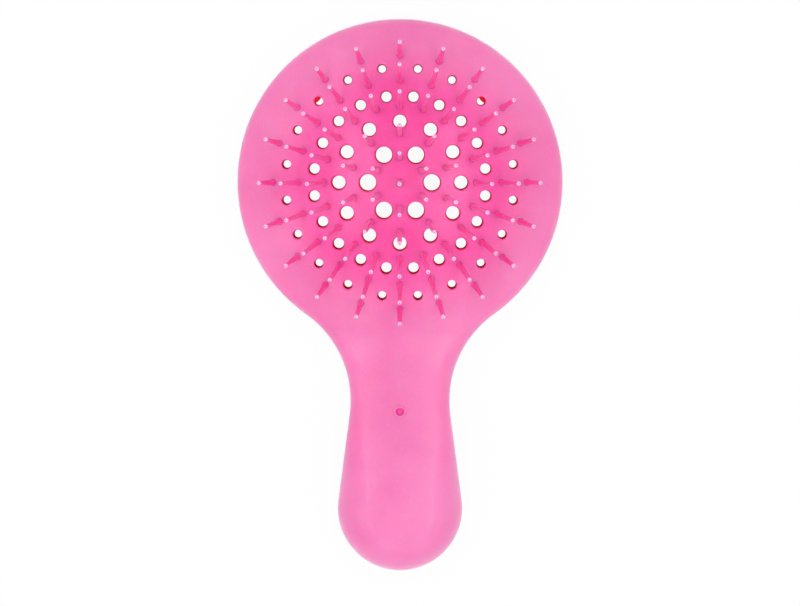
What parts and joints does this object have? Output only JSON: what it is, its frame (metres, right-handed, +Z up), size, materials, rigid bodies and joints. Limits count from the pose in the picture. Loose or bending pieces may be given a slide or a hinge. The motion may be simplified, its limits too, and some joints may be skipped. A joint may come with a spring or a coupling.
{
  "type": "detangling brush",
  "caption": "Round-headed detangling brush with a vented, domed head, fanned flexible pins that lean at their roots, and a short flat-backed grip.",
  "frame": {"origin": "middle of the flat back that the brush lies on, at the centre of its length and width", "axes": "+Z up out of the pins, +Y along the brush from grip to head, +X across it"},
  "size_m": [0.0824, 0.14, 0.0349],
  "materials": {
    "shell_plastic": "satin gloss",
    "pin_plastic": "satin gloss"
  },
  "bodies": {
    "shell": {"front_shell": "shell_plastic", "back_shell": "shell_plastic"},
    "centre_pin": {"centre_pin": "pin_plastic"},
    "inner_pin_01": {"inner_pin_01": "pin_plastic"},
    "inner_pin_02": {"inner_pin_02": "pin_plastic"},
    "inner_pin_03": {"inner_pin_03": "pin_plastic"},
    "inner_pin_04": {"inner_pin_04": "pin_plastic"},
    "inner_pin_05": {"inner_pin_05": "pin_plastic"},
    "inner_pin_06": {"inner_pin_06": "pin_plastic"},
    "middle_pin_01": {"middle_pin_01": "pin_plastic"},
    "middle_pin_02": {"middle_pin_02": "pin_plastic"},
    "middle_pin_03": {"middle_pin_03": "pin_plastic"},
    "middle_pin_04": {"middle_pin_04": "pin_plastic"},
    "middle_pin_05": {"middle_pin_05": "pin_plastic"},
    "middle_pin_06": {"middle_pin_06": "pin_plastic"},
    "middle_pin_07": {"middle_pin_07": "pin_plastic"},
    "middle_pin_08": {"middle_pin_08": "pin_plastic"},
    "middle_pin_09": {"middle_pin_09": "pin_plastic"},
    "middle_pin_10": {"middle_pin_10": "pin_plastic"},
    "pin_spoke_01": {"pin_spoke_01": "pin_plastic"},
    "pin_spoke_02": {"pin_spoke_02": "pin_plastic"},
    "pin_spoke_03": {"pin_spoke_03": "pin_plastic"},
    "pin_spoke_04": {"pin_spoke_04": "pin_plastic"},
    "pin_spoke_05": {"pin_spoke_05": "pin_plastic"},
    "pin_spoke_06": {"pin_spoke_06": "pin_plastic"},
    "pin_spoke_07": {"pin_spoke_07": "pin_plastic"},
    "pin_spoke_08": {"pin_spoke_08": "pin_plastic"},
    "pin_spoke_09": {"pin_spoke_09": "pin_plastic"},
    "pin_spoke_10": {"pin_spoke_10": "pin_plastic"},
    "pin_spoke_11": {"pin_spoke_11": "pin_plastic"},
    "pin_spoke_12": {"pin_spoke_12": "pin_plastic"},
    "pin_spoke_13": {"pin_spoke_13": "pin_plastic"},
    "pin_spoke_14": {"pin_spoke_14": "pin_plastic"},
    "pin_spoke_15": {"pin_spoke_15": "pin_plastic"},
    "pin_spoke_16": {"pin_spoke_16": "pin_plastic"},
    "pin_spoke_17": {"pin_spoke_17": "pin_plastic"},
    "pin_spoke_18": {"pin_spoke_18": "pin_plastic"},
    "pin_spoke_19": {"pin_spoke_19": "pin_plastic"},
    "pin_spoke_20": {"pin_spoke_20": "pin_plastic"}
  },
  "joints": [
    {"name": "centre_pin_lean", "type": "hinge", "parent": "shell", "child": "centre_pin", "pos_m": [0, 0.02875, 0.0184], "axis": [0, 1, 0], "range_deg": [-10, 10], "stiffness_Nm_per_rad": 0.014},
    {"name": "inner_pin_01_lean", "type": "hinge", "parent": "shell", "child": "inner_pin_01", "pos_m": [0, 0.03515, 0.01814], "axis": [0, 0.9968, -0.08], "range_deg": [-10, 10], "stiffness_Nm_per_rad": 0.014},
    {"name": "inner_pin_02_lean", "type": "hinge", "parent": "shell", "child": "inner_pin_02", "pos_m": [-0.00554, 0.03195, 0.01814], "axis": [-0.8632, 0.4984, -0.08], "range_deg": [-10, 10], "stiffness_Nm_per_rad": 0.014},
    {"name": "inner_pin_03_lean", "type": "hinge", "parent": "shell", "child": "inner_pin_03", "pos_m": [-0.00554, 0.02555, 0.01814], "axis": [-0.8632, -0.4984, -0.08], "range_deg": [-10, 10], "stiffness_Nm_per_rad": 0.014},
    {"name": "inner_pin_04_lean", "type": "hinge", "parent": "shell", "child": "inner_pin_04", "pos_m": [0, 0.02235, 0.01814], "axis": [0, -0.9968, -0.08], "range_deg": [-10, 10], "stiffness_Nm_per_rad": 0.014},
    {"name": "inner_pin_05_lean", "type": "hinge", "parent": "shell", "child": "inner_pin_05", "pos_m": [0.00554, 0.02555, 0.01814], "axis": [0.8632, -0.4984, -0.08], "range_deg": [-10, 10], "stiffness_Nm_per_rad": 0.014},
    {"name": "inner_pin_06_lean", "type": "hinge", "parent": "shell", "child": "inner_pin_06", "pos_m": [0.00554, 0.03195, 0.01814], "axis": [0.8632, 0.4984, -0.08], "range_deg": [-10, 10], "stiffness_Nm_per_rad": 0.014},
    {"name": "middle_pin_01_lean", "type": "hinge", "parent": "shell", "child": "middle_pin_01", "pos_m": [0, 0.04105, 0.01745], "axis": [0, 0.9881, -0.1537], "range_deg": [-10, 10], "stiffness_Nm_per_rad": 0.014},
    {"name": "middle_pin_02_lean", "type": "hinge", "parent": "shell", "child": "middle_pin_02", "pos_m": [-0.00723, 0.0387, 0.01745], "axis": [-0.5808, 0.7994, -0.1537], "range_deg": [-10, 10], "stiffness_Nm_per_rad": 0.014},
    {"name": "middle_pin_03_lean", "type": "hinge", "parent": "shell", "child": "middle_pin_03", "pos_m": [-0.0117, 0.03255, 0.01745], "axis": [-0.9397, 0.3053, -0.1538], "range_deg": [-10, 10], "stiffness_Nm_per_rad": 0.014},
    {"name": "middle_pin_04_lean", "type": "hinge", "parent": "shell", "child": "middle_pin_04", "pos_m": [-0.0117, 0.02495, 0.01745], "axis": [-0.9397, -0.3053, -0.1538], "range_deg": [-10, 10], "stiffness_Nm_per_rad": 0.014},
    {"name": "middle_pin_05_lean", "type": "hinge", "parent": "shell", "child": "middle_pin_05", "pos_m": [-0.00723, 0.0188, 0.01745], "axis": [-0.5808, -0.7994, -0.1537], "range_deg": [-10, 10], "stiffness_Nm_per_rad": 0.014},
    {"name": "middle_pin_06_lean", "type": "hinge", "parent": "shell", "child": "middle_pin_06", "pos_m": [0, 0.01645, 0.01745], "axis": [0, -0.9881, -0.1537], "range_deg": [-10, 10], "stiffness_Nm_per_rad": 0.014},
    {"name": "middle_pin_07_lean", "type": "hinge", "parent": "shell", "child": "middle_pin_07", "pos_m": [0.00723, 0.0188, 0.01745], "axis": [0.5808, -0.7994, -0.1537], "range_deg": [-10, 10], "stiffness_Nm_per_rad": 0.014},
    {"name": "middle_pin_08_lean", "type": "hinge", "parent": "shell", "child": "middle_pin_08", "pos_m": [0.0117, 0.02495, 0.01745], "axis": [0.9397, -0.3053, -0.1538], "range_deg": [-10, 10], "stiffness_Nm_per_rad": 0.014},
    {"name": "middle_pin_09_lean", "type": "hinge", "parent": "shell", "child": "middle_pin_09", "pos_m": [0.0117, 0.03255, 0.01745], "axis": [0.9397, 0.3053, -0.1538], "range_deg": [-10, 10], "stiffness_Nm_per_rad": 0.014},
    {"name": "middle_pin_10_lean", "type": "hinge", "parent": "shell", "child": "middle_pin_10", "pos_m": [0.00723, 0.0387, 0.01745], "axis": [0.5808, 0.7994, -0.1537], "range_deg": [-10, 10], "stiffness_Nm_per_rad": 0.014},
    {"name": "pin_spoke_01_lean", "type": "hinge", "parent": "shell", "child": "pin_spoke_01", "pos_m": [0, 0.05435, 0.01404], "axis": [0, 0.947, -0.3211], "range_deg": [-10, 10], "stiffness_Nm_per_rad": 0.042},
    {"name": "pin_spoke_02_lean", "type": "hinge", "parent": "shell", "child": "pin_spoke_02", "pos_m": [-0.00791, 0.0531, 0.01404], "axis": [-0.2926, 0.9007, -0.3211], "range_deg": [-10, 10], "stiffness_Nm_per_rad": 0.042},
    {"name": "pin_spoke_03_lean", "type": "hinge", "parent": "shell", "child": "pin_spoke_03", "pos_m": [-0.01505, 0.04946, 0.01404], "axis": [-0.5566, 0.7662, -0.3211], "range_deg": [-10, 10], "stiffness_Nm_per_rad": 0.042},
    {"name": "pin_spoke_04_lean", "type": "hinge", "parent": "shell", "child": "pin_spoke_04", "pos_m": [-0.02071, 0.0438, 0.01404], "axis": [-0.7662, 0.5566, -0.3211], "range_deg": [-10, 10], "stiffness_Nm_per_rad": 0.042},
    {"name": "pin_spoke_05_lean", "type": "hinge", "parent": "shell", "child": "pin_spoke_05", "pos_m": [-0.02435, 0.03666, 0.01404], "axis": [-0.9007, 0.2926, -0.3211], "range_deg": [-10, 10], "stiffness_Nm_per_rad": 0.042},
    {"name": "pin_spoke_06_lean", "type": "hinge", "parent": "shell", "child": "pin_spoke_06", "pos_m": [-0.0256, 0.02875, 0.01404], "axis": [-0.947, 0, -0.3211], "range_deg": [-10, 10], "stiffness_Nm_per_rad": 0.042},
    {"name": "pin_spoke_07_lean", "type": "hinge", "parent": "shell", "child": "pin_spoke_07", "pos_m": [-0.02435, 0.02084, 0.01404], "axis": [-0.9007, -0.2926, -0.3211], "range_deg": [-10, 10], "stiffness_Nm_per_rad": 0.042},
    {"name": "pin_spoke_08_lean", "type": "hinge", "parent": "shell", "child": "pin_spoke_08", "pos_m": [-0.02071, 0.0137, 0.01404], "axis": [-0.7662, -0.5566, -0.3211], "range_deg": [-10, 10], "stiffness_Nm_per_rad": 0.042},
    {"name": "pin_spoke_09_lean", "type": "hinge", "parent": "shell", "child": "pin_spoke_09", "pos_m": [-0.01505, 0.00804, 0.01404], "axis": [-0.5566, -0.7662, -0.3211], "range_deg": [-10, 10], "stiffness_Nm_per_rad": 0.042},
    {"name": "pin_spoke_10_lean", "type": "hinge", "parent": "shell", "child": "pin_spoke_10", "pos_m": [-0.00791, 0.0044, 0.01404], "axis": [-0.2926, -0.9007, -0.3211], "range_deg": [-10, 10], "stiffness_Nm_per_rad": 0.042},
    {"name": "pin_spoke_11_lean", "type": "hinge", "parent": "shell", "child": "pin_spoke_11", "pos_m": [0, 0.00315, 0.01404], "axis": [0, -0.947, -0.3211], "range_deg": [-10, 10], "stiffness_Nm_per_rad": 0.042},
    {"name": "pin_spoke_12_lean", "type": "hinge", "parent": "shell", "child": "pin_spoke_12", "pos_m": [0.00791, 0.0044, 0.01404], "axis": [0.2926, -0.9007, -0.3211], "range_deg": [-10, 10], "stiffness_Nm_per_rad": 0.042},
    {"name": "pin_spoke_13_lean", "type": "hinge", "parent": "shell", "child": "pin_spoke_13", "pos_m": [0.01505, 0.00804, 0.01404], "axis": [0.5566, -0.7662, -0.3211], "range_deg": [-10, 10], "stiffness_Nm_per_rad": 0.042},
    {"name": "pin_spoke_14_lean", "type": "hinge", "parent": "shell", "child": "pin_spoke_14", "pos_m": [0.02071, 0.0137, 0.01404], "axis": [0.7662, -0.5566, -0.3211], "range_deg": [-10, 10], "stiffness_Nm_per_rad": 0.042},
    {"name": "pin_spoke_15_lean", "type": "hinge", "parent": "shell", "child": "pin_spoke_15", "pos_m": [0.02435, 0.02084, 0.01404], "axis": [0.9007, -0.2926, -0.3211], "range_deg": [-10, 10], "stiffness_Nm_per_rad": 0.042},
    {"name": "pin_spoke_16_lean", "type": "hinge", "parent": "shell", "child": "pin_spoke_16", "pos_m": [0.0256, 0.02875, 0.01404], "axis": [0.947, 0, -0.3211], "range_deg": [-10, 10], "stiffness_Nm_per_rad": 0.042},
    {"name": "pin_spoke_17_lean", "type": "hinge", "parent": "shell", "child": "pin_spoke_17", "pos_m": [0.02435, 0.03666, 0.01404], "axis": [0.9007, 0.2926, -0.3211], "range_deg": [-10, 10], "stiffness_Nm_per_rad": 0.042},
    {"name": "pin_spoke_18_lean", "type": "hinge", "parent": "shell", "child": "pin_spoke_18", "pos_m": [0.02071, 0.0438, 0.01404], "axis": [0.7662, 0.5566, -0.3211], "range_deg": [-10, 10], "stiffness_Nm_per_rad": 0.042},
    {"name": "pin_spoke_19_lean", "type": "hinge", "parent": "shell", "child": "pin_spoke_19", "pos_m": [0.01505, 0.04946, 0.01404], "axis": [0.5566, 0.7662, -0.3211], "range_deg": [-10, 10], "stiffness_Nm_per_rad": 0.042},
    {"name": "pin_spoke_20_lean", "type": "hinge", "parent": "shell", "child": "pin_spoke_20", "pos_m": [0.00791, 0.0531, 0.01404], "axis": [0.2926, 0.9007, -0.3211], "range_deg": [-10, 10], "stiffness_Nm_per_rad": 0.042}
  ]
}
